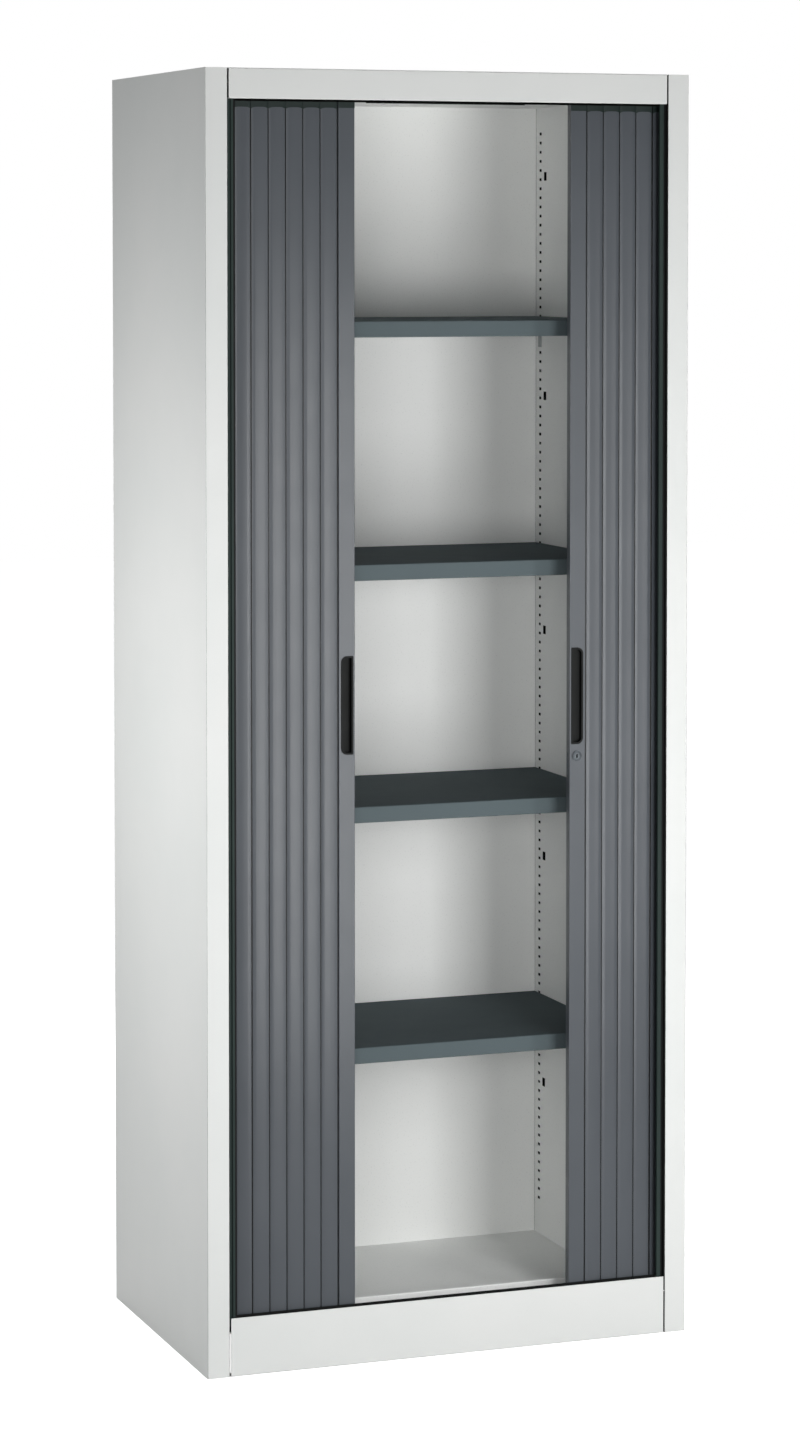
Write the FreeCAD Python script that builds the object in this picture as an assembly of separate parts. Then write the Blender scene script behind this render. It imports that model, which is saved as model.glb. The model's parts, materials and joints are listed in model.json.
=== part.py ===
"""Roll front tool cabinet: sheet steel casing, two slatted curtains, four shelves.

Millimetres. X runs along the front, -Y faces the user, +Z is up.
The origin is under the middle of the cabinet, on the floor.
"""
import FreeCAD
import Part
import math
import os

Vector = FreeCAD.Vector

# ---- casing ---------------------------------------------------------------
HEIGHT = 1980.0
WIDTH = 790.0
DEPTH = 500.0
SHEET = 1.0
BEND_RADIUS = 1.0
POST_WIDTH = 35.5
POST_RETURN = 8.0
REAR_FLANGE = 25.0
SHADOW_GAP = 2.0
FASCIA_HEIGHT = 46.2
PANEL_FIT = 0.3
PLINTH_HEIGHT = 89.5
PLINTH_FOOT = 18.0
BASE_DROP = 22.5
BASE_FLANGE = 20.0
BACK_SIDE_GAP = 1.5

# ---- lining ---------------------------------------------------------------
SIDE_SPACE = 85.0
LINING_SETBACK = 76.0
REAR_SPACE = 77.0
LINING_FLANGE = 12.0
LINING_TOP_SPACE = 40.0
CEILING_LIP = 16.0
FLOOR_LIP_HEIGHT = 13.5
FLOOR_LIP_DEPTH = 12.0
HOLE_WIDTH = 9.0
HOLE_HEIGHT = 4.5
HOLE_PITCH = 15.0
FIRST_HOLE_RISE = 60.0
HOLE_TOP_MARGIN = 40.0
REAR_ROW_INSET = 20.0
FRONT_ROW_INSET = 27.0
SLOT_INSET = 40.0
SLOT_WIDTH = 12.0
SLOT_HEIGHT = 14.0
SLOT_RISES = (198.0, 576.0, 952.0, 1339.0, 1700.0)

# ---- shelves --------------------------------------------------------------
SHELF_HOLES = (20, 45, 70, 95)
SHELF_EDGE = 25.0
SHELF_FRONT_SETBACK = 72.0
SHELF_RETURN = 12.0
SHELF_SIDE_CLEARANCE = 1.6
SHELF_REAR_CLEARANCE = 3.0
CLIP_THICKNESS = 1.2
CLIP_WIDTH = 12.0
CLIP_LEDGE = 9.0
CLIP_RISE = 20.0
CLIP_TAIL = 6.0
TONGUE_CLEARANCE = 0.25
TONGUE_REACH = 3.0

# ---- curtains -------------------------------------------------------------
SLAT_PITCH = 27.5
SLAT_COUNT = 13
SLAT_CROWN = 4.5
SLAT_FACE_RADIUS = 85.0
SLAT_SHOULDER_RADIUS = 25.0
SLAT_SHOULDER_WIDTH = 5.0
SLAT_BACK = 2.5
SLAT_JOINT_GAP = 1.0
KNUCKLE_BALL = 1.1
KNUCKLE_CLEARANCE = 0.3
KNUCKLE_WALL = 0.8
SOCKET_OPEN_FROM = -56.0
SOCKET_OPEN_TO = 70.0
NECK_WIDTH = 0.9
CURTAIN_SETBACK = 12.0
POCKET_INSET = 33.0
CORNER_RADIUS = 30.0
LEFT_SHOWN = 208.0
RIGHT_SHOWN = 161.4
RUNNING_GAP = 0.3
CURTAIN_OVERLAP = 2.2

# ---- guide rails and seals ------------------------------------------------
RAIL_FLOOR = 2.0
RAIL_LIP = 1.2
RAIL_LIP_SHOWN = 2.2
RAIL_REAR_LIP_HEIGHT = 6.0
RAIL_FRONT_CLEARANCE = 2.0
RAIL_REAR_CLEARANCE = 1.8
RAIL_REAR_LIP_INSET = 265.0
RAIL_SIDE_GAP = 0.5
RAIL_BAND = 36.0
RAIL_ARM_WIDTH = 41.5
RAIL_ARM_END_GAP = 50.0
RAIL_INNER_CORNER = 15.0
SEAL_REACH = 12.5
SEAL_CLIP = 1.6
SEAL_CLIP_SETBACK = 0.8
SEAL_GROOVE_SETBACK = 5.5
SEAL_BEAD_SETBACK = 3.0
SEAL_BEAD_WIDTH = 7.0
SEAL_BEAD_ROUNDING = 1.2
SEAL_DEPTH = 8.0
SEAL_EDGE_ROUNDING = 0.4

# ---- lead bars, grips and lock --------------------------------------------
BAR_DEPTH = 13.5
BAR_WALL = 1.5
BAR_WIDTH = 26.0
BAR_CORNER = 1.0
GRIP_CENTRE = 1014.0
GRIP_HEIGHT = 151.0
GRIP_WIDTH = 20.0
GRIP_INSET = 2.5
GRIP_CORNER = 10.0
GRIP_RIM = 1.6
GRIP_RIM_RAISE = 0.8
GRIP_WALL = 1.2
GRIP_DEPTH = 9.0
LOCK_DROP = 94.0
LOCK_INSET = 12.0
LOCK_RIM_RADIUS = 8.0
LOCK_RIM_RAISE = 1.2
LOCK_BARREL_RADIUS = 6.0
LOCK_PLUG_RADIUS = 4.5
LOCK_RUNNING_FIT = 0.05
LOCK_BARREL_LENGTH = 7.0
KEYWAY_WIDTH = 1.2
KEYWAY_HEIGHT = 6.0
KEYWAY_DEPTH = 4.0
CAM_THICKNESS = 1.5
CAM_WIDTH = 8.0
CAM_REACH = 20.0
CAM_HEAD_RADIUS = 3.5
CAM_TIP_RADIUS = 1.0
CAM_GAP = 0.4
CAM_SLOT_CLEARANCE = 0.8
CUT_PAST = 5.0

# ---- derived places -------------------------------------------------------
FRONT = -DEPTH / 2
BACK = DEPTH / 2
SIDE = WIDTH / 2
OPENING_HALF = SIDE - POST_WIDTH
HEADER_HALF = OPENING_HALF - SHADOW_GAP
FASCIA_BOTTOM = HEIGHT - FASCIA_HEIGHT
BASE_TOP = PLINTH_HEIGHT - BASE_DROP
FLOOR_TOP = BASE_TOP + SHEET
LINING_TOP = HEIGHT - LINING_TOP_SPACE
LINING_FRONT = FRONT + LINING_SETBACK
LINING_BACK = BACK - REAR_SPACE
INNER_HALF = SIDE - SIDE_SPACE
FIRST_HOLE = FLOOR_TOP + FIRST_HOLE_RISE
CURTAIN_FRONT = FRONT + CURTAIN_SETBACK
HINGE_Y = CURTAIN_FRONT + SLAT_CROWN
POCKET_X = SIDE - POCKET_INSET
LEFT_LEAD_AT_REST = -POCKET_X + LEFT_SHOWN
RIGHT_LEAD_AT_REST = POCKET_X - RIGHT_SHOWN
CURTAIN_BOTTOM = BASE_TOP + RAIL_FLOOR + RUNNING_GAP
CURTAIN_TOP = FASCIA_BOTTOM + CURTAIN_OVERLAP
SOCKET_INNER = KNUCKLE_BALL + KNUCKLE_CLEARANCE
SOCKET_OUTER = SOCKET_INNER + KNUCKLE_WALL
LOCK_HEIGHT = GRIP_CENTRE - LOCK_DROP
RAIL_FRONT = CURTAIN_FRONT - RAIL_FRONT_CLEARANCE - RAIL_LIP


# ---- drawing helpers ------------------------------------------------------
def outline(points):
    """Closed wire through 2-D points; a third number rounds that corner."""
    corners = [(Vector(p[0], p[1], 0), p[2] if len(p) > 2 else 0.0) for p in points]
    starts, ends, middles = [], [], []
    count = len(corners)
    for i, (corner, radius) in enumerate(corners):
        before = (corners[i - 1][0] - corner).normalize()
        after = (corners[(i + 1) % count][0] - corner).normalize()
        if radius == 0:
            starts.append(corner)
            ends.append(corner)
            middles.append(None)
            continue
        half = before.getAngle(after) / 2
        reach = radius / math.tan(half)
        bisector = (before + after).normalize()
        starts.append(corner + before * reach)
        ends.append(corner + after * reach)
        middles.append(corner + bisector * (radius / math.sin(half) - radius))
    edges = []
    for i in range(count):
        if middles[i] is not None:
            edges.append(Part.Arc(starts[i], middles[i], ends[i]).toShape())
        following = starts[(i + 1) % count]
        if (following - ends[i]).Length > 1e-6:
            edges.append(Part.LineSegment(ends[i], following).toShape())
    return Part.Wire(edges)


PLANES = {
    "XY": (Vector(0, 0, 0), FreeCAD.Rotation(), Vector(0, 0, 1)),
    "YZ": (Vector(0, 0, 0), FreeCAD.Rotation(Vector(1, 1, 1), 120), Vector(1, 0, 0)),
    "XZ": (Vector(0, 0, 0), FreeCAD.Rotation(Vector(1, 0, 0), 90), Vector(0, 1, 0)),
}


def prism(points, plane, start, stop):
    """Outline drawn in a plane and pushed from start to stop along its normal."""
    base, rotation, normal = PLANES[plane]
    face = Part.Face(outline(points))
    face.Placement = FreeCAD.Placement(base, rotation)
    face.translate(normal * start)
    return face.extrude(normal * (stop - start))


def box(x_span, y_span, z_span):
    low = Vector(x_span[0], y_span[0], z_span[0])
    return Part.makeBox(x_span[1] - x_span[0], y_span[1] - y_span[0], z_span[1] - z_span[0], low)


def folded(path, plane, start, stop, side):
    """Sheet folded along a path of outer-face points; side +1 thickens to the left."""
    points = [Vector(x, y, 0) for x, y in path]
    normals = []
    for a, b in zip(points, points[1:]):
        run = (b - a).normalize()
        normals.append(Vector(-run.y, run.x, 0) * side)
    outer, inner = [], []
    for i, point in enumerate(points):
        if i == 0 or i == len(points) - 1:
            normal = normals[0] if i == 0 else normals[-1]
            outer.append((point.x, point.y))
            shifted = point + normal * SHEET
            inner.append((shifted.x, shifted.y))
            continue
        mitre = normals[i - 1] + normals[i]
        shifted = point + mitre * (SHEET / (1 + normals[i - 1].dot(normals[i])))
        turn = (points[i] - points[i - 1]).cross(points[i + 1] - points[i]).z * side
        wide, tight = BEND_RADIUS + SHEET, BEND_RADIUS
        outer.append((point.x, point.y, wide if turn > 0 else tight))
        inner.append((shifted.x, shifted.y, tight if turn > 0 else wide))
    return prism(outer + inner[::-1], plane, start, stop)


def mirrored(shape):
    return shape.mirror(Vector(0, 0, 0), Vector(1, 0, 0))


def fused(shapes):
    return shapes[0].multiFuse(shapes[1:]).removeSplitter()


# ---- casing ---------------------------------------------------------------
def side_panel():
    """Left wall with its front post face, post return and rear flange."""
    path = [
        (-OPENING_HALF, FRONT + POST_RETURN),
        (-OPENING_HALF, FRONT),
        (-SIDE, FRONT),
        (-SIDE, BACK),
        (-SIDE + REAR_FLANGE, BACK),
    ]
    return folded(path, "XY", 0, HEIGHT, -1)


def top_panel(side_panels):
    """Top sheet that folds down at the front into the fascia."""
    rear = BACK - SHEET
    path = [
        (RAIL_FRONT - PANEL_FIT, FASCIA_BOTTOM),
        (FRONT, FASCIA_BOTTOM),
        (FRONT, HEIGHT),
        (rear, HEIGHT),
    ]
    hood = folded(path, "YZ", -HEADER_HALF, HEADER_HALF, -1)
    half = SIDE - SHEET
    sheet = box((-half, half), (FRONT + SHEET, rear), (HEIGHT - SHEET, HEIGHT))
    return fused([hood, sheet]).cut(Part.makeCompound(side_panels)).removeSplitter()


def plinth_panel():
    path = [(FRONT, PLINTH_HEIGHT), (FRONT, 0), (FRONT + PLINTH_FOOT, 0)]
    return folded(path, "YZ", -HEADER_HALF, HEADER_HALF, 1)


def base_pan(side_panels):
    """Structural bottom: a tray turned upside down between the side panels."""
    half = SIDE - SHEET
    rear = BACK - 2 * SHEET
    low = BASE_TOP - BASE_FLANGE
    path = [(-half, low), (-half, BASE_TOP), (half, BASE_TOP), (half, low)]
    tray = folded(path, "XZ", FRONT + SHEET, rear, -1)
    rear_flange = box((-half, half), (rear - SHEET, rear), (low, BASE_TOP))
    return fused([tray, rear_flange]).cut(Part.makeCompound(side_panels)).removeSplitter()


def outer_back():
    """Flat rear wall, laid inside the rear flanges and clear of their bends."""
    half = SIDE - SHEET - BACK_SIDE_GAP
    return box((-half, half), (BACK - 2 * SHEET, BACK - SHEET), (0, HEIGHT - SHEET))


# ---- lining ---------------------------------------------------------------
def hole_level(index):
    return FIRST_HOLE + index * HOLE_PITCH


def hole_count():
    return int((LINING_TOP - HOLE_TOP_MARGIN - FIRST_HOLE) / HOLE_PITCH) + 1


def row_positions():
    return (LINING_FRONT + FRONT_ROW_INSET, LINING_BACK - REAR_ROW_INSET)


def perforations():
    """Cutters for the two hole rows and the hook slots of the left lining wall."""
    through = (-INNER_HALF - CUT_PAST, -INNER_HALF + CUT_PAST)
    half_width, half_height = HOLE_WIDTH / 2, HOLE_HEIGHT / 2
    cutters = []
    for y in row_positions():
        for index in range(hole_count()):
            z = hole_level(index)
            cutters.append(box(through, (y - half_width, y + half_width),
                               (z - half_height, z + half_height)))
    slot_y = LINING_BACK - SLOT_INSET
    for rise in SLOT_RISES:
        z = FIRST_HOLE + rise
        cutters.append(box(through, (slot_y - SLOT_WIDTH / 2, slot_y + SLOT_WIDTH / 2),
                           (z - SLOT_HEIGHT / 2, z + SLOT_HEIGHT / 2)))
    return Part.makeCompound(cutters)


def lining_side():
    path = [
        (-INNER_HALF, LINING_FRONT),
        (-INNER_HALF, LINING_BACK),
        (-INNER_HALF - LINING_FLANGE, LINING_BACK),
    ]
    return folded(path, "XY", BASE_TOP, LINING_TOP, 1).cut(perforations())


def lining_back():
    half = INNER_HALF + LINING_FLANGE
    return box((-half, half), (LINING_BACK, LINING_BACK + SHEET), (BASE_TOP, LINING_TOP))


def ceiling_panel():
    half = INNER_HALF + SHEET
    path = [
        (LINING_FRONT, LINING_TOP + CEILING_LIP),
        (LINING_FRONT, LINING_TOP),
        (LINING_BACK + SHEET, LINING_TOP),
    ]
    return folded(path, "YZ", -half, half, 1)


def floor_plate():
    """Bottom tray that lies on the base, with a raised hollow lip at the front."""
    lip_top = FLOOR_TOP + FLOOR_LIP_HEIGHT
    lip_rear = LINING_FRONT + FLOOR_LIP_DEPTH
    path = [
        (LINING_FRONT, BASE_TOP),
        (LINING_FRONT, lip_top),
        (lip_rear, lip_top),
        (lip_rear, FLOOR_TOP),
        (LINING_BACK, FLOOR_TOP),
    ]
    return folded(path, "YZ", -INNER_HALF, INNER_HALF, -1)


# ---- shelves --------------------------------------------------------------
def shelf_top(index):
    return hole_level(index) + CLIP_RISE + SHELF_EDGE


def shelf(index):
    """Shelf folded down on four sides, with a return under its front edge."""
    top = shelf_top(index)
    low = top - SHELF_EDGE
    half = INNER_HALF - SHELF_SIDE_CLEARANCE
    front = FRONT + SHELF_FRONT_SETBACK
    rear = LINING_BACK - SHELF_REAR_CLEARANCE
    path = [(rear, low), (rear, top), (front, top), (front, low), (front + SHELF_RETURN, low)]
    deck = folded(path, "YZ", -half, half, 1)
    flange_y = (front + SHELF_RETURN, rear - SHEET)
    flange = box((-half, -half + SHEET), flange_y, (low, top - SHEET))
    return fused([deck, flange, mirrored(flange)])


def shelf_clip(index, y, sign):
    """Angle clip whose tongue sits in one hole and whose ledge carries the shelf."""
    z = hole_level(index)
    wall = -INNER_HALF
    ledge_top = z + CLIP_RISE
    profile = [
        (wall, z - CLIP_TAIL),
        (wall + CLIP_THICKNESS, z - CLIP_TAIL),
        (wall + CLIP_THICKNESS, ledge_top - CLIP_THICKNESS),
        (wall + CLIP_LEDGE, ledge_top - CLIP_THICKNESS),
        (wall + CLIP_LEDGE, ledge_top),
        (wall, ledge_top),
    ]
    angle = prism(profile, "XZ", y - CLIP_WIDTH / 2, y + CLIP_WIDTH / 2)
    half_width = HOLE_WIDTH / 2 - TONGUE_CLEARANCE
    half_height = HOLE_HEIGHT / 2 - TONGUE_CLEARANCE
    tongue = box((wall - TONGUE_REACH, wall), (y - half_width, y + half_width),
                 (z - half_height, z + half_height))
    clip = fused([angle, tongue])
    return clip if sign < 0 else mirrored(clip)


def shelf_clips():
    clips = []
    for index in SHELF_HOLES:
        for y in row_positions():
            clips += [shelf_clip(index, y, -1), shelf_clip(index, y, 1)]
    return Part.makeCompound(clips)


# ---- curtain path ---------------------------------------------------------
def path_point(distance, lead):
    """Point of the left curtain's hinge line, a distance behind its lead edge."""
    arc_x = -POCKET_X + CORNER_RADIUS
    arc_y = HINGE_Y + CORNER_RADIUS
    straight = lead - arc_x
    if distance <= straight:
        return Vector(lead - distance, HINGE_Y, 0)
    turn = (distance - straight) / CORNER_RADIUS
    if turn <= math.pi / 2:
        return Vector(arc_x - CORNER_RADIUS * math.sin(turn), arc_y - CORNER_RADIUS * math.cos(turn), 0)
    return Vector(-POCKET_X, arc_y + distance - straight - CORNER_RADIUS * math.pi / 2, 0)


def hinge_points(lead):
    """Knuckle centres, one slat pitch apart along the path."""
    points = [path_point(0, lead)]
    distance = 0.0
    for _ in range(SLAT_COUNT):
        low, high = distance, distance + 2 * SLAT_PITCH
        for _ in range(50):
            distance = (low + high) / 2
            if (path_point(distance, lead) - points[-1]).Length < SLAT_PITCH:
                low = distance
            else:
                high = distance
        points.append(path_point(distance, lead))
    return points


def slat_turns(lead):
    """Turn of each slat from the straight front, in degrees; the pocket is 90."""
    points = hinge_points(lead)
    turns = []
    for ahead, behind in zip(points, points[1:]):
        run = behind - ahead
        turns.append(math.degrees(math.atan2(run.y, -run.x)))
    return turns


# ---- slats ----------------------------------------------------------------
def socket(u):
    """Open knuckle ring that holds the next slat's bead."""
    ring = Part.makeCylinder(SOCKET_OUTER, 1, Vector(u, 0, 0))
    mouth_reach = 2 * SOCKET_OUTER
    mouth = Part.makeCylinder(mouth_reach, 1, Vector(u, 0, 0), Vector(0, 0, 1),
                              SOCKET_OPEN_TO - SOCKET_OPEN_FROM)
    mouth.rotate(Vector(u, 0, 0), Vector(0, 0, 1), SOCKET_OPEN_FROM)
    return ring.cut(mouth)


def socket_bore(u):
    return Part.makeCylinder(SOCKET_INNER, 1, Vector(u, 0, 0))


def flat_prism(points):
    return prism(points, "XY", 0, 1)


def crown_points():
    """Seven points over a slat's face: a flat middle arc between two rounder shoulders."""
    half = SLAT_PITCH / 2 - SLAT_JOINT_GAP
    knee = math.asin((half - SLAT_SHOULDER_WIDTH) / SLAT_FACE_RADIUS)
    offset = (SLAT_FACE_RADIUS - SLAT_SHOULDER_RADIUS) * math.sin(knee)
    end = math.asin((half - offset) / SLAT_SHOULDER_RADIUS)

    def point(centre_u, centre_w, radius, angle):
        u = SLAT_PITCH / 2 + centre_u + radius * math.sin(angle)
        return Vector(u, centre_w + radius * math.cos(angle), 0)

    face_w = SLAT_CROWN - SLAT_FACE_RADIUS
    shoulder_w = face_w + (SLAT_FACE_RADIUS - SLAT_SHOULDER_RADIUS) * math.cos(knee)
    near = [point(-offset, shoulder_w, SLAT_SHOULDER_RADIUS, -a) for a in (end, (end + knee) / 2)]
    middle = [point(0, face_w, SLAT_FACE_RADIUS, a) for a in (-knee, 0, knee)]
    far = [point(offset, shoulder_w, SLAT_SHOULDER_RADIUS, a) for a in ((end + knee) / 2, end)]
    return near + middle + far


def slat_section():
    """Unit-high slat: u runs back from its bead, w runs out to the front."""
    near, far = SLAT_JOINT_GAP, SLAT_PITCH - SLAT_JOINT_GAP
    crown = crown_points()
    edges = [Part.Arc(*crown[i:i + 3]).toShape() for i in (0, 2, 4)]
    corners = [crown[-1], Vector(far, SLAT_BACK, 0), Vector(near, SLAT_BACK, 0), crown[0]]
    edges += [Part.LineSegment(a, b).toShape() for a, b in zip(corners, corners[1:])]
    face = Part.Face(Part.Wire(edges)).extrude(Vector(0, 0, 1))
    bead = Part.makeCylinder(KNUCKLE_BALL, 1)
    half = NECK_WIDTH / 2
    root = (SLAT_BACK + crown[0].y) / 2
    neck = flat_prism([(half, -half), (root + 2 * half, root), (root, root), (-half, half)])
    web_near = SLAT_PITCH - SOCKET_OUTER
    web = flat_prism([(web_near, 0), (SLAT_PITCH, 0), (far, SLAT_BACK), (far, root), (web_near, root)])
    tail = fused([socket(SLAT_PITCH), web]).cut(socket_bore(SLAT_PITCH))
    return fused([face, bead, neck, tail])


def bar_section():
    """Unit-high lead bar: a rectangular tube with the first knuckle on its tail."""
    rear = SLAT_CROWN - BAR_DEPTH
    tube = flat_prism([(0, SLAT_CROWN, BAR_CORNER), (0, rear, BAR_CORNER),
                       (BAR_WIDTH, rear, BAR_CORNER), (BAR_WIDTH, SLAT_CROWN, BAR_CORNER)])
    near, far = BAR_WALL, BAR_WIDTH - BAR_WALL
    low, high = rear + BAR_WALL, SLAT_CROWN - BAR_WALL
    hollow = flat_prism([(near, high), (near, low), (far, low), (far, high)])
    tail = socket(SLAT_PITCH).cut(hollow)
    return fused([tube.cut(hollow), tail]).cut(socket_bore(SLAT_PITCH))


def stretched(section, bottom, top):
    """Unit-high section drawn out between two levels."""
    face = min(section.Faces, key=lambda f: f.CenterOfMass.z)
    shape = face.extrude(Vector(0, 0, top - bottom))
    shape.translate(Vector(0, 0, bottom))
    return shape


def on_curtain(shape, ahead, turn):
    """Left curtain place: bead at the hinge point, turned along the path."""
    placed = shape.mirror(Vector(0, 0, 0), Vector(0, 1, 0))
    placed = placed.mirror(Vector(0, 0, 0), Vector(1, 0, 0))
    placed.rotate(Vector(0, 0, 0), Vector(0, 0, 1), -turn)
    placed.translate(ahead)
    return placed


# ---- lead bar fittings, drawn in the u, w frame of the bar -----------------
def grip_outline(margin):
    low = GRIP_CENTRE - GRIP_HEIGHT / 2 + margin
    high = GRIP_CENTRE + GRIP_HEIGHT / 2 - margin
    near = GRIP_INSET + margin
    far = GRIP_INSET + GRIP_WIDTH - margin
    small = max(GRIP_RIM - margin / 2, SHEET / 2)
    return [(near, low, small), (far, low, GRIP_CORNER - margin),
            (far, high, GRIP_CORNER - margin), (near, high, small)]


def grip():
    """Recessed finger pull: a raised rim round a cup let into the bar."""
    floor = SLAT_CROWN - GRIP_DEPTH
    rim = prism(grip_outline(0), "XZ", SLAT_CROWN, SLAT_CROWN + GRIP_RIM_RAISE)
    cup = prism(grip_outline(GRIP_RIM), "XZ", floor, SLAT_CROWN)
    well = prism(grip_outline(GRIP_RIM + GRIP_WALL), "XZ", floor + GRIP_WALL,
                 SLAT_CROWN + GRIP_RIM_RAISE)
    return fused([rim, cup]).cut(well)


def grip_cutout():
    return prism(grip_outline(GRIP_RIM), "XZ", 0, SLAT_CROWN + CUT_PAST)


def lock_axis_cylinder(radius, w_from, w_to):
    return Part.makeCylinder(radius, w_to - w_from, Vector(LOCK_INSET, w_from, LOCK_HEIGHT),
                             Vector(0, 1, 0))


def lock_housing():
    rim = lock_axis_cylinder(LOCK_RIM_RADIUS, SLAT_CROWN, SLAT_CROWN + LOCK_RIM_RAISE)
    barrel = lock_axis_cylinder(LOCK_BARREL_RADIUS, SLAT_CROWN - LOCK_BARREL_LENGTH, SLAT_CROWN)
    bore = lock_axis_cylinder(LOCK_PLUG_RADIUS + LOCK_RUNNING_FIT,
                              SLAT_CROWN - LOCK_BARREL_LENGTH - CUT_PAST, SLAT_CROWN + CUT_PAST)
    return fused([rim, barrel]).cut(bore)


def cam_span():
    front = SLAT_CROWN - LOCK_BARREL_LENGTH - CAM_GAP
    return front - CAM_THICKNESS, front


def lock_plug():
    plug = lock_axis_cylinder(LOCK_PLUG_RADIUS, cam_span()[1], SLAT_CROWN + LOCK_RIM_RAISE)
    keyway = box((LOCK_INSET - KEYWAY_WIDTH / 2, LOCK_INSET + KEYWAY_WIDTH / 2),
                 (SLAT_CROWN + LOCK_RIM_RAISE - KEYWAY_DEPTH, SLAT_CROWN + CUT_PAST),
                 (LOCK_HEIGHT - KEYWAY_HEIGHT / 2, LOCK_HEIGHT + KEYWAY_HEIGHT / 2))
    return plug.cut(keyway)


def lock_cam():
    """Latch arm on the plug's tail; it hangs down when unlocked."""
    half = CAM_WIDTH / 2
    head = LOCK_HEIGHT + half
    tip = LOCK_HEIGHT - CAM_REACH
    profile = [(LOCK_INSET - half, head, CAM_HEAD_RADIUS), (LOCK_INSET + half, head, CAM_HEAD_RADIUS),
               (LOCK_INSET + half, tip, CAM_TIP_RADIUS), (LOCK_INSET - half, tip, CAM_TIP_RADIUS)]
    return prism(profile, "XZ", *cam_span())


def cam_slot():
    """Slot in the bar's lead wall that the latch arm swings through."""
    w_from, w_to = cam_span()
    drop = math.sqrt(CAM_REACH ** 2 - (LOCK_INSET - BAR_WALL) ** 2)
    low = LOCK_HEIGHT - drop - CAM_WIDTH / 2
    high = LOCK_HEIGHT + CAM_WIDTH / 2 + CAM_SLOT_CLEARANCE
    return box((-CUT_PAST, CUT_PAST), (w_from - CAM_SLOT_CLEARANCE, w_to + CAM_SLOT_CLEARANCE),
               (low, high))


def lead_bar(with_lock):
    bar = stretched(bar_section(), CURTAIN_BOTTOM, CURTAIN_TOP)
    cutters = [grip_cutout(), cam_slot()]
    if with_lock:
        cutters.append(lock_axis_cylinder(LOCK_BARREL_RADIUS, 0, SLAT_CROWN + CUT_PAST))
    for cutter in cutters:
        bar = bar.cut(cutter)
    return bar


def curtain(lead, side_name, with_lock, place):
    """Nodes of one curtain: place carries a left-hand shape to its own side."""
    points = hinge_points(lead)
    turns = slat_turns(lead)
    nodes = {"lead_bar_" + side_name: place(on_curtain(lead_bar(with_lock), points[0], 0)),
             "grip_" + side_name: place(on_curtain(grip(), points[0], 0))}
    if with_lock:
        for name, shape in (("lock_housing", lock_housing()), ("lock_plug", lock_plug()),
                            ("lock_cam", lock_cam())):
            nodes[name] = place(on_curtain(shape, points[0], 0))
    slat = stretched(slat_section(), CURTAIN_BOTTOM, CURTAIN_TOP)
    for k in range(1, SLAT_COUNT):
        nodes["slat_%s_%02d" % (side_name, k)] = place(on_curtain(slat, points[k], turns[k]))
    return nodes


# ---- guide rails and seals ------------------------------------------------
def rail_plan():
    """Floor of a guide rail: along the front and back into both side pockets."""
    outer = SIDE - SHEET - RAIL_SIDE_GAP
    inner = outer - RAIL_ARM_WIDTH
    band = RAIL_FRONT + RAIL_BAND
    end = BACK - RAIL_ARM_END_GAP
    return [(-outer, RAIL_FRONT), (outer, RAIL_FRONT), (outer, end), (inner, end),
            (inner, band, RAIL_INNER_CORNER), (-inner, band, RAIL_INNER_CORNER), (-inner, end),
            (-outer, end)]


def guide_rail(floor_span, front_lip_span, rear_lip_span, side_panels):
    """Rail floor with a lip before the slats and a short one behind the lead bars."""
    floor = prism(rail_plan(), "XY", *floor_span)
    front_half = OPENING_HALF - SEAL_REACH
    front_lip = box((-front_half, front_half), (RAIL_FRONT, RAIL_FRONT + RAIL_LIP), front_lip_span)
    rear_half = SIDE - RAIL_REAR_LIP_INSET
    rear = CURTAIN_FRONT + BAR_DEPTH + RAIL_REAR_CLEARANCE
    rear_lip = box((-rear_half, rear_half), (rear, rear + RAIL_LIP), rear_lip_span)
    return fused([floor, front_lip, rear_lip]).cut(Part.makeCompound(side_panels))


def bottom_rail(side_panels):
    floor_top = BASE_TOP + RAIL_FLOOR
    return guide_rail((BASE_TOP, floor_top), (BASE_TOP, PLINTH_HEIGHT + RAIL_LIP_SHOWN),
                      (BASE_TOP, floor_top + RAIL_REAR_LIP_HEIGHT), side_panels)


def top_rail(side_panels):
    floor_low = CURTAIN_TOP + RUNNING_GAP
    floor_top = floor_low + RAIL_FLOOR
    return guide_rail((floor_low, floor_top), (FASCIA_BOTTOM - RAIL_LIP_SHOWN, floor_top),
                      (floor_low - RAIL_REAR_LIP_HEIGHT, floor_top), side_panels)


def seal_profile():
    """Dark strip clipped on the post return: a bead that closes the gap beside the slats."""
    post = -OPENING_HALF
    tip = post + SEAL_REACH
    heel = tip - SEAL_BEAD_WIDTH
    clip_front = FRONT + SEAL_CLIP_SETBACK
    groove = FRONT + SEAL_GROOVE_SETBACK
    bead = FRONT + SEAL_BEAD_SETBACK
    back = FRONT + SEAL_DEPTH
    plan = [(post, clip_front), (post + SEAL_CLIP, clip_front, SEAL_EDGE_ROUNDING),
            (post + SEAL_CLIP, groove), (heel, groove), (heel, bead, SEAL_BEAD_ROUNDING),
            (tip, bead, SEAL_BEAD_ROUNDING), (tip, back, SEAL_EDGE_ROUNDING), (post, back)]
    return prism(plan, "XY", PLINTH_HEIGHT, FASCIA_BOTTOM)


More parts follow.
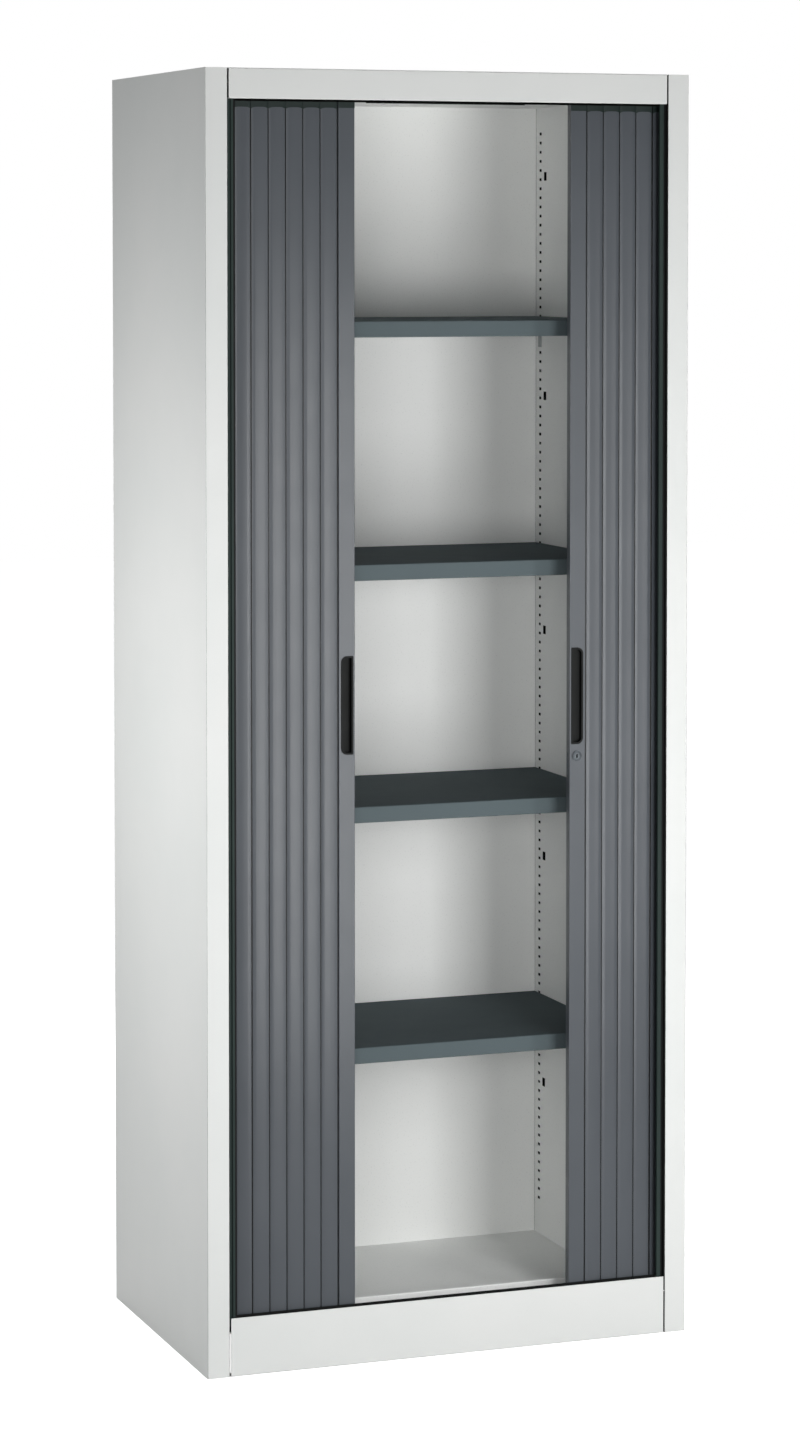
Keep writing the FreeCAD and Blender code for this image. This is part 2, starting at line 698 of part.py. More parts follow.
# ---- assembly -------------------------------------------------------------
def build():
    left = side_panel()
    panels = [left, mirrored(left)]
    lining = lining_side()
    seal = seal_profile()
    nodes = {
        "side_panel_left": panels[0],
        "side_panel_right": panels[1],
        "top_panel": top_panel(panels),
        "plinth_panel": plinth_panel(),
        "base_pan": base_pan(panels),
        "outer_back": outer_back(),
        "lining_left": lining,
        "lining_right": mirrored(lining),
        "lining_back": lining_back(),
        "ceiling_panel": ceiling_panel(),
        "floor_plate": floor_plate(),
        "shelf_clips": shelf_clips(),
        "bottom_rail": bottom_rail(panels),
        "top_rail": top_rail(panels),
        "seal_left": seal,
        "seal_right": mirrored(seal),
    }
    for number, index in enumerate(SHELF_HOLES, 1):
        nodes["shelf_%d" % number] = shelf(index)
    nodes.update(curtain(LEFT_LEAD_AT_REST, "left", False, lambda shape: shape))
    nodes.update(curtain(-RIGHT_LEAD_AT_REST, "right", True, mirrored))
    return nodes


def main():
    os.makedirs("parts", exist_ok=True)
    for name, shape in build().items():
        shape.exportStep("parts/%s.step" % name)
        print("%-18s solids %d, volume %.0f" % (name, len(shape.Solids), shape.Volume))


main()
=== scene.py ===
import bmesh
import bpy
import json
import math
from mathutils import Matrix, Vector

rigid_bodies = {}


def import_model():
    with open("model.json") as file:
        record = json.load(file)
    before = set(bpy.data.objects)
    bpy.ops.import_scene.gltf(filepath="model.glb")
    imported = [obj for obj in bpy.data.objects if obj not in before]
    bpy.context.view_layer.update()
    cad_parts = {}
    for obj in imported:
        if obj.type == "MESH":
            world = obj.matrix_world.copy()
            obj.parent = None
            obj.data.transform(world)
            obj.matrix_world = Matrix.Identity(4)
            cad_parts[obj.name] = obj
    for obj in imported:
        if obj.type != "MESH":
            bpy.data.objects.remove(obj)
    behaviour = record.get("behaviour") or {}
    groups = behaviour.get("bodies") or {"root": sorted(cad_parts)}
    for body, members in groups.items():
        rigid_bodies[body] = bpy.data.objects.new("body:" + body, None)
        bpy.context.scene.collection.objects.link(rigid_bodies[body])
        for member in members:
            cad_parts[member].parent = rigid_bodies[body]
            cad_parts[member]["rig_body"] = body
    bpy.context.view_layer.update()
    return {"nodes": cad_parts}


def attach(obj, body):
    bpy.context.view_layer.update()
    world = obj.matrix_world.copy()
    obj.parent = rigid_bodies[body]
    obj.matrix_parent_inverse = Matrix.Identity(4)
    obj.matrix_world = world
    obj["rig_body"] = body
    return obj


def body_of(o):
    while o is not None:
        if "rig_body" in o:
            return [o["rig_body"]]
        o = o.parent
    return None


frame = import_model()
nodes = frame["nodes"]

mm = 0.001


# sRGB hex to the linear values that the shaders take
def hexColor(code):
    channels = []
    for i in (0, 2, 4):
        value = int(code[i:i + 2], 16) / 255
        channels.append(value / 12.92 if value <= 0.04045 else ((value + 0.055) / 1.055) ** 2.4)
    return (*channels, 1.0)


# one node, with its settings, input values and incoming links
def addNode(tree, kind, values=None, links=None, **settings):
    node = tree.nodes.new(kind)
    for name, value in settings.items():
        setattr(node, name, value)
    for key, value in (values or {}).items():
        node.inputs[key].default_value = value
    for key, output in (links or {}).items():
        tree.links.new(output, node.inputs[key])
    return node


def newMaterial(name):
    material = bpy.data.materials.new(name)
    material.use_nodes = True
    tree = material.node_tree
    tree.nodes.clear()
    shader = addNode(tree, "ShaderNodeBsdfPrincipled")
    out = addNode(tree, "ShaderNodeOutputMaterial")
    tree.links.new(shader.outputs[0], out.inputs[0])
    place = addNode(tree, "ShaderNodeTexCoord").outputs["Object"]
    return material, tree, shader, place


def setShader(shader, **values):
    for name, value in values.items():
        shader.inputs[name.replace("_", " ")].default_value = value


# painted highlight on outside edges: the rounding's width, and how far it leans from the flat face, as a
# cosine
edgeHighlight = {"radius": 0.6 * mm, "samples": 4, "firstLean": 0.995, "fullLean": 0.86}


# 0 on flat faces, 1 on the outside edges, where a highlight is painted
def edgeMask(tree):
    rounded = addNode(tree, "ShaderNodeBevel", {"Radius": edgeHighlight["radius"]}, samples=edgeHighlight["samples"])
    geometry = addNode(tree, "ShaderNodeNewGeometry")
    lean = addNode(tree, "ShaderNodeVectorMath",
                   links={0: rounded.outputs[0], 1: geometry.outputs["Normal"]}, operation="DOT_PRODUCT")
    return addNode(tree, "ShaderNodeMapRange",
                   {"From Min": edgeHighlight["firstLean"], "From Max": edgeHighlight["fullLean"]},
                   {"Value": lean.outputs["Value"]}, clamp=True).outputs[0]


# the slow drift between a finish's two shades: how rough the patches are, and where each shade is pure
shadeDrift = {"detail": 3.0, "roughness": 0.6, "pureLow": 0.35, "pureHigh": 0.65}


# colour that drifts softly between two tones, then turns to a third, a painted highlight, on the edges
def mixedColor(tree, place, settings):
    drift = addNode(tree, "ShaderNodeTexNoise",
                    {"Scale": 1 / settings["patchSize"], "Detail": shadeDrift["detail"],
                     "Roughness": shadeDrift["roughness"]}, {"Vector": place})
    spread = addNode(tree, "ShaderNodeMapRange",
                     {"From Min": shadeDrift["pureLow"], "From Max": shadeDrift["pureHigh"]},
                     {"Value": drift.outputs["Fac"]})
    blend = addNode(tree, "ShaderNodeMix",
                    {"A": hexColor(settings["lowHex"]), "B": hexColor(settings["highHex"])},
                    {"Factor": spread.outputs[0]}, data_type="RGBA")
    color = blend.outputs["Result"]
    if "edgeHighlightHex" in settings:
        mask = addNode(tree, "ShaderNodeMath", {1: settings["edgeHighlightShare"]}, {0: edgeMask(tree)},
                       operation="MULTIPLY")
        highlighted = addNode(tree, "ShaderNodeMix", {"B": hexColor(settings["edgeHighlightHex"])},
                       {"Factor": mask.outputs[0], "A": color}, data_type="RGBA")
        color = highlighted.outputs["Result"]
    return color


# 1 inside a box of spans in metres, 0 outside; x counts from the middle, the same on both sides
def insideMask(tree, place, spans):
    axes = addNode(tree, "ShaderNodeSeparateXYZ", links={0: place})
    mask = None
    for axis, (low, high) in spans.items():
        value = axes.outputs[axis]
        if axis == "X":
            value = addNode(tree, "ShaderNodeMath", links={0: value}, operation="ABSOLUTE").outputs[0]
        inside = addNode(tree, "ShaderNodeMath", {1: (low + high) / 2, 2: (high - low) / 2}, {0: value},
                         operation="COMPARE").outputs[0]
        if mask is None:
            mask = inside
        else:
            mask = addNode(tree, "ShaderNodeMath", links={0: mask, 1: inside},
                           operation="MULTIPLY").outputs[0]
    return mask


# painted shade: some boxes of the piece are painted near black, in pockets, seams, gaps and a keyway
def paintShade(tree, place, color, settings):
    for spans in settings.get("shadeBoxes", ()):
        mix = addNode(tree, "ShaderNodeMix", {"B": hexColor(settings["shadeHex"])},
                      {"Factor": insideMask(tree, place, spans), "A": color}, data_type="RGBA")
        color = mix.outputs["Result"]
    return color


# what every finish has: its colour, a roughness that wanders a little, and a fine relief, which a
# stretch under 1 draws out in height
def linkSurface(tree, shader, place, color, settings):
    tree.links.new(paintShade(tree, place, color, settings), shader.inputs["Base Color"])
    wander = addNode(tree, "ShaderNodeTexNoise", {"Scale": 1 / settings["dullPatch"], "Detail": 2.0},
                     {"Vector": place})
    rough = addNode(tree, "ShaderNodeMapRange",
                    {"To Min": settings["roughness"] - settings["roughnessSwing"],
                     "To Max": settings["roughness"] + settings["roughnessSwing"]},
                    {"Value": wander.outputs["Fac"]})
    tree.links.new(rough.outputs[0], shader.inputs["Roughness"])
    stretch = addNode(tree, "ShaderNodeMapping", {"Scale": (1, 1, settings["reliefStretch"])},
                      {"Vector": place})
    relief = addNode(tree, "ShaderNodeTexNoise",
                     {"Scale": 1 / settings["reliefSize"], "Detail": settings["reliefDetail"]},
                     {"Vector": stretch.outputs[0]})
    bump = addNode(tree, "ShaderNodeBump",
                   {"Strength": settings["reliefStrength"], "Distance": settings["reliefHeight"]},
                   {"Height": relief.outputs["Fac"]})
    tree.links.new(bump.outputs[0], shader.inputs["Normal"])


# powder-coated sheet steel: sprayed dry and baked, so it is even and half matt, with a fine orange peel
def powderCoat(name, settings):
    material, tree, shader, place = newMaterial(name)
    color = mixedColor(tree, place, settings)
    grain = addNode(tree, "ShaderNodeTexNoise", {"Scale": 1 / settings["speckleSize"], "Detail": 1.0},
                    {"Vector": place})
    dots = addNode(tree, "ShaderNodeMapRange",
                   {"From Min": settings["speckleFrom"], "From Max": settings["speckleFull"],
                    "To Max": settings["speckle"]}, {"Value": grain.outputs["Fac"]})
    speckled = addNode(tree, "ShaderNodeMix", {"B": hexColor(settings["speckleHex"])},
                       {"Factor": dots.outputs[0], "A": color}, data_type="RGBA")
    linkSurface(tree, shader, place, speckled.outputs["Result"], settings)
    setShader(shader, IOR=settings["ior"], Specular_IOR_Level=settings["specular"])
    return material


# 1 on a slat's face, 0 down in the joints, for painted shade; the plane runs through its hinges, out is its
# normal
def faceMask(tree, place, start, out, settings):
    height = addNode(tree, "ShaderNodeVectorMath", {1: (out.x, out.y, 0)}, {0: place},
                     operation="DOT_PRODUCT")
    face = start.dot(out) + settings["jointShadeDepth"]
    return addNode(tree, "ShaderNodeMapRange",
                   {"From Min": face - settings["jointShadeBlend"], "From Max": face},
                   {"Value": height.outputs["Value"]}, clamp=True).outputs[0]


# extruded or moulded plastic: coloured through and satin, with faint lines along an extrusion
def mouldedPlastic(name, settings, jointShadePlane=None):
    material, tree, shader, place = newMaterial(name)
    color = mixedColor(tree, place, settings)
    # when a slat's plane is given, shade is painted into the joints between slats
    if jointShadePlane:
        face = faceMask(tree, place, *jointShadePlane, settings)
        shadedJointColor = addNode(tree, "ShaderNodeMix", {"A": hexColor(settings["jointShadeHex"])},
                       {"Factor": face, "B": color}, data_type="RGBA")
        color = shadedJointColor.outputs["Result"]
    linkSurface(tree, shader, place, color, settings)
    setShader(shader, IOR=settings["ior"], Specular_IOR_Level=settings["specular"])
    return material


# nickel or zinc plated metal: a thin bright layer over turned or pressed parts, finely scratched by use
def platedMetal(name, settings):
    material, tree, shader, place = newMaterial(name)
    linkSurface(tree, shader, place, mixedColor(tree, place, settings), settings)
    setShader(shader, Metallic=1.0)
    return material


# casing: light grey polyester powder. The orange peel ripples 1.2 mm apart; the pigment's specks are
# about 0.1 mm and are drawn 1.6 mm wide, so that they show. Its pale edge colour is a painted highlight,
# and its near black is painted shade for the boxes below
casing = {
    "lowHex": "CDCFCD", "highHex": "D1D2D0", "patchSize": 350 * mm, "edgeHighlightHex": "EFEFEC", "edgeHighlightShare": 0.5,
    "speckleHex": "B5B8B7", "speckle": 0.10, "speckleSize": 1.6 * mm,
    "speckleFrom": 0.62, "speckleFull": 0.74,
    "roughness": 0.48, "roughnessSwing": 0.06, "dullPatch": 60 * mm, "specular": 0.45, "ior": 1.5,
    "reliefSize": 1.2 * mm, "reliefDetail": 2.0, "reliefStretch": 1, "reliefStrength": 0.25,
    "reliefHeight": 0.05 * mm,
    "shadeHex": "0C0E0E",
}
# lining: the same powder inside, more matt, and paler: painted light, so the inside looks brighter. Faces
# that look into the pockets are painted near black here and on the panels below, a painted shade, so that
# the punched holes and the seams look black
lining = dict(casing, lowHex="EEEFED", highHex="F1F2F0", roughness=0.55, speckle=0.22, speckleSize=2.4 * mm,
              shadeBoxes=[{"X": (310.3 * mm, 340 * mm)}])
# side panels and outer back: painted shade on their inner faces, in the curtain pockets and behind the
# lining
casingSide = dict(casing, shadeBoxes=[{"X": (359.3 * mm, 394.5 * mm), "Y": (-249.6 * mm, 249.5 * mm)}])
casingBack = dict(casing, shadeBoxes=[{"Y": (240 * mm, 248.5 * mm)}])
# shelves: blue-grey powder with a fine texture, so almost without shine, and a painted highlight along the
# folds
shelfCoat = dict(casing, lowHex="515B5E", highHex="555F62", edgeHighlightHex="8C959A", edgeHighlightShare=0.55,
                 speckle=0.12, speckleHex="6A7475", roughness=0.8, specular=0.12)

# slats: PVC pushed through a die, so satin, with faint lines up and down. The lines lie about 0.1 mm
# apart and are drawn 0.8 mm apart, so that they show. The pale edge colour is a painted highlight
slatPlastic = {
    "lowHex": "44484D", "highHex": "494D52", "patchSize": 300 * mm, "edgeHighlightHex": "868B91", "edgeHighlightShare": 0.6,
    "roughness": 0.32, "roughnessSwing": 0.05, "dullPatch": 40 * mm, "specular": 0.36, "ior": 1.49,
    "reliefSize": 0.8 * mm, "reliefDetail": 3.0, "reliefStretch": 0.02, "reliefStrength": 0.12,
    "reliefHeight": 0.05 * mm,
}
# painted shade in the joints: the face keeps the slat's colour, and what lies deeper, in the joints, turns
# near black
shadedJointSlat = dict(slatPlastic, jointShadeHex="0B0C0D", jointShadeDepth=3.1 * mm, jointShadeBlend=0.15 * mm)
# lead bars: the slats' anthracite on a larger bar, with a painted highlight on its edges and a painted
# shade at its tail, in the seam to the first slat
leadBar = dict(slatPlastic, lowHex="464A4F", highHex="4B4F54", edgeHighlightHex="A6ABAE", edgeHighlightShare=0.8,
               shadeHex="0E1011")
leftLeadBar = dict(leadBar, shadeBoxes=[{"X": (180.05 * mm, 184 * mm)}])
rightLeadBar = dict(leadBar, shadeBoxes=[{"X": (226.65 * mm, 231 * mm)}])
# end caps: moulded nylon, dull, greener and darker than the slats: painted shade, the fascia's shadow on
# them
capShadePlastic = dict(slatPlastic, lowHex="1D2624", highHex="222C2A", edgeHighlightHex="343F3C", roughness=0.5,
                  reliefStretch=1, specular=0.2)
# grips: ABS from a grained mould, so black and dull, with a fine even texture
gripPlastic = dict(slatPlastic, lowHex="0A0C0B", highHex="0E100F", edgeHighlightHex="2A2E2F", edgeHighlightShare=0.4,
                   roughness=0.6, reliefStretch=1, reliefStrength=0.2, specular=0.18)
# guide rails: POM, waxy and near black: painted shade, so the gaps above and below the slats read as dark
# lines
railPlastic = dict(gripPlastic, lowHex="060807", highHex="0A0D0C", edgeHighlightHex="141817")
# strip under the fascia, tufts 0.5 mm thick, near black: painted shade, a dark piece on the fascia's shadow
# line
shadowStripPlastic = dict(gripPlastic, lowHex="040504", highHex="070807", edgeHighlightHex="0B0C0C", roughness=0.9,
                 reliefSize=0.5 * mm, reliefStrength=0.5, specular=0.05)
# seals: soft PVC, dark green-grey; painted shade makes the right one black at the post, the left one at its
# lip
sealPlastic = dict(gripPlastic, lowHex="202B29", highHex="26322F", edgeHighlightHex="3E4A47", shadeHex="050606")
rightSeal = dict(sealPlastic, shadeBoxes=[{"X": (354.6 * mm, 360 * mm)}])
leftSeal = dict(sealPlastic, shadeBoxes=[{"X": (345 * mm, 350 * mm)}])

# lock: nickel over brass, dulled by keys; its barrel side and its keyway are darkened as painted shade. The
# scratches are about 0.05 mm wide and are drawn 0.8 mm, so that they show
lockPlating = {
    "lowHex": "383B3E", "highHex": "424649", "patchSize": 8 * mm,
    "roughness": 0.34, "roughnessSwing": 0.05, "dullPatch": 3 * mm,
    "reliefSize": 0.8 * mm, "reliefDetail": 4.0, "reliefStretch": 1, "reliefStrength": 0.05,
    "reliefHeight": 0.02 * mm,
    "shadeHex": "0A0B0C", "shadeBoxes": [{"Y": (-238.85 * mm, -215 * mm)}],
}
keyway = {"X": (211.4 * mm, 213.8 * mm), "Z": (916.8 * mm, 923.2 * mm)}
plugPlating = dict(lockPlating, lowHex="484C4F", highHex="54585B",
                   shadeBoxes=lockPlating["shadeBoxes"] + [keyway])
# shelf clips: zinc over spring steel, pale and more scratched than the lock
clipPlating = dict(lockPlating, lowHex="9EA2A4", highHex="B0B4B5", roughness=0.4, reliefSize=0.4 * mm,
                   reliefStrength=0.15, shadeBoxes=[])

finishes = {
    "casing": powderCoat("light grey powder coat", casing),
    "side": powderCoat("light grey powder coat, painted shade in the pocket", casingSide),
    "back": powderCoat("light grey powder coat, painted shade inside", casingBack),
    "lining": powderCoat("light grey powder coat, inside, painted paler and shaded", lining),
    "shelf": powderCoat("dark grey powder coat", shelfCoat),
    "cap": mouldedPlastic("end cap nylon, painted fascia shadow", capShadePlastic),
    "fascia_shadow": mouldedPlastic("black strip, painted fascia shadow", shadowStripPlastic),
    "lead_bar_left": mouldedPlastic("anthracite coated bar, left", leftLeadBar),
    "lead_bar_right": mouldedPlastic("anthracite coated bar, right", rightLeadBar),
    "grip": mouldedPlastic("black moulded ABS", gripPlastic),
    "rail": mouldedPlastic("black rail POM", railPlastic),
    "seal_right": mouldedPlastic("dark green-grey seal PVC, painted shade at the post", rightSeal),
    "seal_left": mouldedPlastic("dark green-grey seal PVC, painted shade at the lip", leftSeal),
    "lock": platedMetal("nickel plated brass, painted shade on the side", lockPlating),
    "plug": platedMetal("nickel plated brass, painted shade in the keyway", plugPlating),
    "clip": platedMetal("zinc plated steel", clipPlating),
}
print("materials made:", len(finishes))

# the curtain's line at rest: along the front, round a corner and back into the pocket
track = {"hingeY": -233.5 * mm, "pocketX": 362 * mm, "corner": 30 * mm, "pitch": 27.5 * mm, "slats": 12,
         "halvings": 40}
leads = {"left": -154 * mm, "right": -200.6 * mm}


# a point on the line of a curtain whose lead edge is at that x, drawn for the left side
def linePoint(run, lead):
    corner = track["corner"]
    cornerX = corner - track["pocketX"]
    cornerY = track["hingeY"] + corner
    straight = lead - cornerX
    if run <= straight:
        return Vector((lead - run, track["hingeY"]))
    turn = (run - straight) / corner
    if turn <= math.pi / 2:
        return Vector((cornerX - corner * math.sin(turn), cornerY - corner * math.cos(turn)))
    return Vector((-track["pocketX"], cornerY + run - straight - corner * math.pi / 2))


# the hinges: each is one pitch from the one before, measured straight, and found by halving
def hingeLine(lead):
    points, run = [linePoint(0, lead)], 0.0
    for _ in range(track["slats"] + 1):
        low, high = run, run + 2 * track["pitch"]
        for _ in range(track["halvings"]):
            run = (low + high) / 2
            if (linePoint(run, lead) - points[-1]).length < track["pitch"]:
                low = run
            else:
                high = run
        points.append(linePoint(run, lead))
    return points


curtains = {side: hingeLine(lead) for side, lead in leads.items()}


def slatName(side, k):
    return "lead_bar_" + side if k == 0 else "slat_%s_%02d" % (side, k)


# a slat's first hinge, the direction to its second one and its outward side; the lead bar is slat 0
def slatFrame(side, k):
    start, end = curtains[side][k:k + 2]
    if side == "right":
        start, end = Vector((-start.x, start.y)), Vector((-end.x, end.y))
    run = (end - start).normalized()
    out = Vector((-run.y, run.x)) if side == "left" else Vector((run.y, -run.x))
    return start, run, out


slatFinishes = {}  # slats of one side that stand in one plane share a material
for side in curtains:
    for k in range(1, track["slats"] + 1):
        start, run, out = slatFrame(side, k)
        plane = (side, round(out.x, 3), round(out.y, 3), round(start.dot(out), 3))
        if plane not in slatFinishes:
            slatFinishes[plane] = mouldedPlastic("anthracite slat PVC with painted shade in the joints", shadedJointSlat,
                                                 (start, out))
        finishes[slatName(side, k)] = slatFinishes[plane]
print("finishes with the slats' own:", len(set(finishes.values())))

# how a node's name starts and the finish it gets; nodes with a finish of their own name aren't here
dressing = {
    "side_panel": "side", "top_panel": "casing", "plinth_panel": "casing", "outer_back": "back",
    "base_pan": "casing", "lining": "lining", "ceiling_panel": "lining", "floor_plate": "lining",
    "shelf_clips": "clip", "shelf": "shelf", "grip": "grip", "lock_plug": "plug", "lock": "lock",
    "bottom_rail": "rail", "top_rail": "rail",
}


# the finish sits on the object's own slots, so the shape below it stays as it is
def dressNode(node, finish):
    if not node.data.materials:
        node.data.materials.append(finish)
    for slot in node.material_slots:
        slot.link = "OBJECT"
        slot.material = finish


for name, node in nodes.items():
    if name in finishes:
        dressNode(node, finishes[name])
    else:
        start = next(start for start in dressing if name.startswith(start))
        dressNode(node, finishes[dressing[start]])
print("nodes dressed")


# the crown of a slat's face: a flat arc in the middle and a tighter one towards each edge
crown = {"middle": 13.75 * mm, "flatHalf": 7.75 * mm, "flatRadius": 85 * mm, "flatCenter": 80.5 * mm,
         "edgeRadius": 25 * mm, "edgeShift": 5.47 * mm, "edgeCenter": 20.75 * mm}


# how far the face stands in front of the hinges, at a distance from the first one
def crownDepth(along):
    offset = abs(along - crown["middle"])
    if offset < crown["flatHalf"]:
        return math.sqrt(crown["flatRadius"] ** 2 - offset ** 2) - crown["flatCenter"]
    return math.sqrt(crown["edgeRadius"] ** 2 - (offset - crown["edgeShift"]) ** 2) - crown["edgeCenter"]


# end caps: a thin scalloped hood on the top of each slat, which slides in the head rail; dark, and dipping
# at the slat edges, it is a painted shadow of the fascia on the slat tops
endCap = {"proud": 0.45 * mm, "thick": 0.4 * mm, "rounding": 0.12 * mm, "low": 1922.0 * mm,
          "high": 1935.8 * mm, "dip": 2.6 * mm, "dipPower": 4, "slatSpan": (0.2 * mm, 27.2 * mm),
          "barSpan": (0.1 * mm, 25.9 * mm), "barDepth": 4.5 * mm, "columns": 16}


def addHood(mesh, side, k):
    start, run, out = slatFrame(side, k)
    isBar = k == 0
    first, last = endCap["barSpan"] if isBar else endCap["slatSpan"]
    grid = []
    for i in range(endCap["columns"] + 1):
        along = first + (last - first) * i / endCap["columns"]
        depth = (endCap["barDepth"] if isBar else crownDepth(along)) + endCap["proud"]
        bend = abs(2 * i / endCap["columns"] - 1)  # 0 in the middle, 1 at both edges
        foot = endCap["low"] - (0 if isBar else endCap["dip"] * bend ** endCap["dipPower"])
        spot = start + run * along + out * depth
        levels = (endCap["high"], (endCap["high"] + foot) / 2, foot)
        grid.append([mesh.verts.new((spot.x, spot.y, z)) for z in levels])
    for before, after in zip(grid, grid[1:]):
        for j in (0, 1):
            corners = [before[j], before[j + 1], after[j + 1], after[j]]
            mesh.faces.new(corners[::-1] if side == "right" else corners)


def newPiece(name, mesh, body, finish):
    data = bpy.data.meshes.new(name)
    mesh.to_mesh(data)
    mesh.free()
    piece = bpy.data.objects.new(name, data)
    bpy.context.scene.collection.objects.link(piece)
    data.materials.append(finish)
    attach(piece, body)
    return piece


# slats that ride on one body share one object
for side in curtains:
    carried = {}
    for k in range(track["slats"] + 1):
        key = slatName(side, k)
        carried.setdefault(body_of(nodes[key])[0], []).append(k)
    for body, members in carried.items():
        mesh = bmesh.new()
        for k in members:
            addHood(mesh, side, k)
        hood = newPiece("end_caps_" + body, mesh, body, finishes["cap"])
        shell = hood.modifiers.new("wall", "SOLIDIFY")
        shell.thickness = endCap["thick"]
        shell.offset = -1
        rounding = hood.modifiers.new("rounding", "BEVEL")
        rounding.width = endCap["rounding"]
        rounding.segments = 2
        rounding.limit_method = "ANGLE"
print("end caps made")

# strip under the fascia, a painted shade along its shadow line: a holder clipped to the return and a soft
# rounded brush below it
shadowStrip = {"half": 346.4 * mm, "front": -248.4 * mm, "back": -241.7 * mm, "top": 1933.75 * mm,
             "holder": 1932.9 * mm, "foot": 1930.5 * mm, "stations": 64, "crown": 0.6 * mm,
             "wave": 0.12 * mm, "waveAlong": 2.4, "waveAcross": 3}
middle = (shadowStrip["front"] + shadowStrip["back"]) / 2
reach = (shadowStrip["back"] - shadowStrip["front"]) / 2
section = [(-1.0, "top"), (-1.0, "holder"), (-0.75, "holder"), (-0.8, "foot"), (-0.4, "foot"),
           (0.0, "foot"), (0.4, "foot"), (0.8, "foot"), (0.75, "holder"), (1.0, "holder"), (1.0, "top")]
mesh = bmesh.new()
rings = []
for i in range(shadowStrip["stations"] + 1):
    x = shadowStrip["half"] * (2 * i / shadowStrip["stations"] - 1)
    ring = []
    for share, level in section:
        z = shadowStrip[level]
        if level == "foot":
            ripple = math.sin(i * shadowStrip["waveAlong"] + share * shadowStrip["waveAcross"])
            z += shadowStrip["crown"] * share ** 2 + shadowStrip["wave"] * ripple
        ring.append(mesh.verts.new((x, middle + share * reach, z)))
    rings.append(ring)
for before, after in zip(rings, rings[1:]):
    for j in range(len(section)):
        k = (j + 1) % len(section)
        mesh.faces.new([before[j], before[k], after[k], after[j]])
mesh.faces.new(rings[0][::-1])
mesh.faces.new(rings[-1])
bmesh.ops.recalc_face_normals(mesh, faces=mesh.faces)
newPiece("fascia_shadow_strip", mesh, "cabinet", finishes["fascia_shadow"])
print("pile strip made")

# camera: far off with a long lens, a little to the left, level with the upper shelves
viewpoint = {
    "position": (-2.1621, -5.8950, 1.7104), "yaw": 0.35256, "pitchDown": 0.04697,
    "lens": 98.42, "sensor": 36, "shiftY": -0.2,
}
cameraData = bpy.data.cameras.new("camera")
cameraData.lens = viewpoint["lens"]
cameraData.sensor_width = viewpoint["sensor"]
cameraData.shift_y = viewpoint["shiftY"]
camera = bpy.data.objects.new("camera", cameraData)
camera.location = viewpoint["position"]
camera.rotation_euler = (math.pi / 2 - viewpoint["pitchDown"], 0, -viewpoint["yaw"])
bpy.context.scene.collection.objects.link(camera)
bpy.context.scene.camera = camera

# soft boxes: two strips for the front, one box beside the camera, one for the left side, and three
# for the right, the back and the top
studio = {
    "frontStrip": {"at": (0.28, -1.95, 0.88), "aim": (0.1, -0.25, 0.88), "size": (0.5, 1.4), "power": 20.5},
    "rightStrip": {"at": (1.5, -2.4, 0.9), "aim": (0.1, -0.25, 0.9), "size": (0.4, 1.4), "power": 14.5},
    "cameraSide": {"at": (-1.7, -4.2, 1.2), "aim": (0.05, 0, 1.0), "size": (1.2, 1.2), "power": 51},
    "leftBox": {"at": (-1.38, -0.1, 1.02), "aim": (-0.4, 0, 1.02), "size": (0.5, 0.7), "power": 11},
    "rightSoft": {"at": (2.5, 0.7, 1.4), "aim": (0.4, 0, 1.0), "size": (1.4, 1.6), "power": 32},
    "backSoft": {"at": (0.4, 2.6, 1.4), "aim": (0, 0.25, 1.0), "size": (1.6, 1.6), "power": 38},
    "topSoft": {"at": (0, 0.5, 4.0), "aim": (0, 0, 1.98), "size": (1.4, 1.2), "power": 20},
}
for name, box in studio.items():
    lampData = bpy.data.lights.new(name, "AREA")
    lampData.shape = "RECTANGLE"
    lampData.size, lampData.size_y = box["size"]
    lampData.energy = box["power"]
    lamp = bpy.data.objects.new(name, lampData)
    lamp.location = box["at"]
    aim = Vector(box["aim"]) - Vector(box["at"])
    lamp.rotation_euler = aim.to_track_quat("-Z", "Y").to_euler()
    lamp.visible_camera = False
    bpy.context.scene.collection.objects.link(lamp)

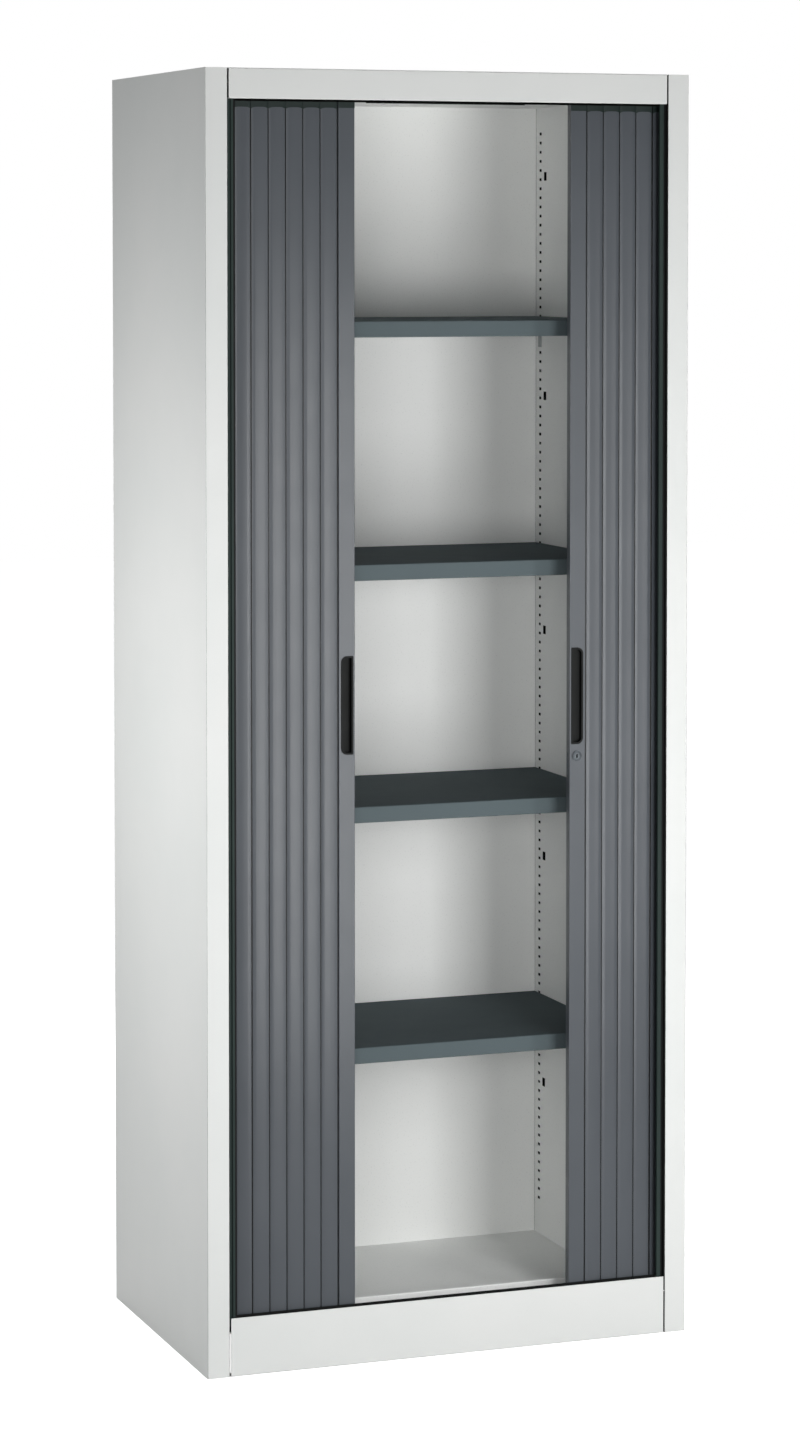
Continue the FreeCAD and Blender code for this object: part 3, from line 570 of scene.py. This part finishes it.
# room: a weak cool fill for the object, white where the camera looks past it
roomLight = {"fill": (0.94, 0.97, 1.0, 1), "fillStrength": 0.18,
             "backdrop": (1, 1, 1, 1), "backdropStrength": 1.0}
world = bpy.data.worlds.new("pale room")
bpy.context.scene.world = world
world.use_nodes = True
room = world.node_tree
room.nodes.clear()
rays = addNode(room, "ShaderNodeLightPath")
fill = addNode(room, "ShaderNodeBackground",
               {"Color": roomLight["fill"], "Strength": roomLight["fillStrength"]})
backdrop = addNode(room, "ShaderNodeBackground",
                   {"Color": roomLight["backdrop"], "Strength": roomLight["backdropStrength"]})
whole = addNode(room, "ShaderNodeMixShader",
                links={0: rays.outputs["Is Camera Ray"], 1: fill.outputs[0], 2: backdrop.outputs[0]})
addNode(room, "ShaderNodeOutputWorld", links={0: whole.outputs[0]})

# floor: the camera sees it nearly white with a soft shadow, the object gets a plain bounce
ground = {"lowHex": "D8D8D8", "highHex": "DCDCDC", "patchSize": 900 * mm, "roughness": 0.9, "size": 30,
          "glow": 0.90, "ownShare": 0.60}
bpy.ops.mesh.primitive_plane_add(size=ground["size"], location=(0, 0, 0))
floor = bpy.context.object
floor.name = "floor"
floorMaterial, floorTree, floorShader, floorPlace = newMaterial("white studio floor")
floorTree.links.new(mixedColor(floorTree, floorPlace, ground), floorShader.inputs["Base Color"])
setShader(floorShader, Roughness=ground["roughness"])
glow = addNode(floorTree, "ShaderNodeEmission", {"Strength": ground["glow"]})
shade = addNode(floorTree, "ShaderNodeBsdfDiffuse", {"Color": (ground["ownShare"],) * 3 + (1,)})
lit = addNode(floorTree, "ShaderNodeAddShader", links={0: glow.outputs[0], 1: shade.outputs[0]})
floorRay = addNode(floorTree, "ShaderNodeLightPath").outputs["Is Camera Ray"]
floorMix = addNode(floorTree, "ShaderNodeMixShader",
                   links={0: floorRay, 1: floorShader.outputs[0], 2: lit.outputs[0]})
floorOut = next(node for node in floorTree.nodes if node.type == "OUTPUT_MATERIAL")
floorTree.links.new(floorMix.outputs[0], floorOut.inputs[0])
floor.data.materials.append(floorMaterial)
print("studio set")

bpy.context.scene.view_settings.view_transform = "Standard"
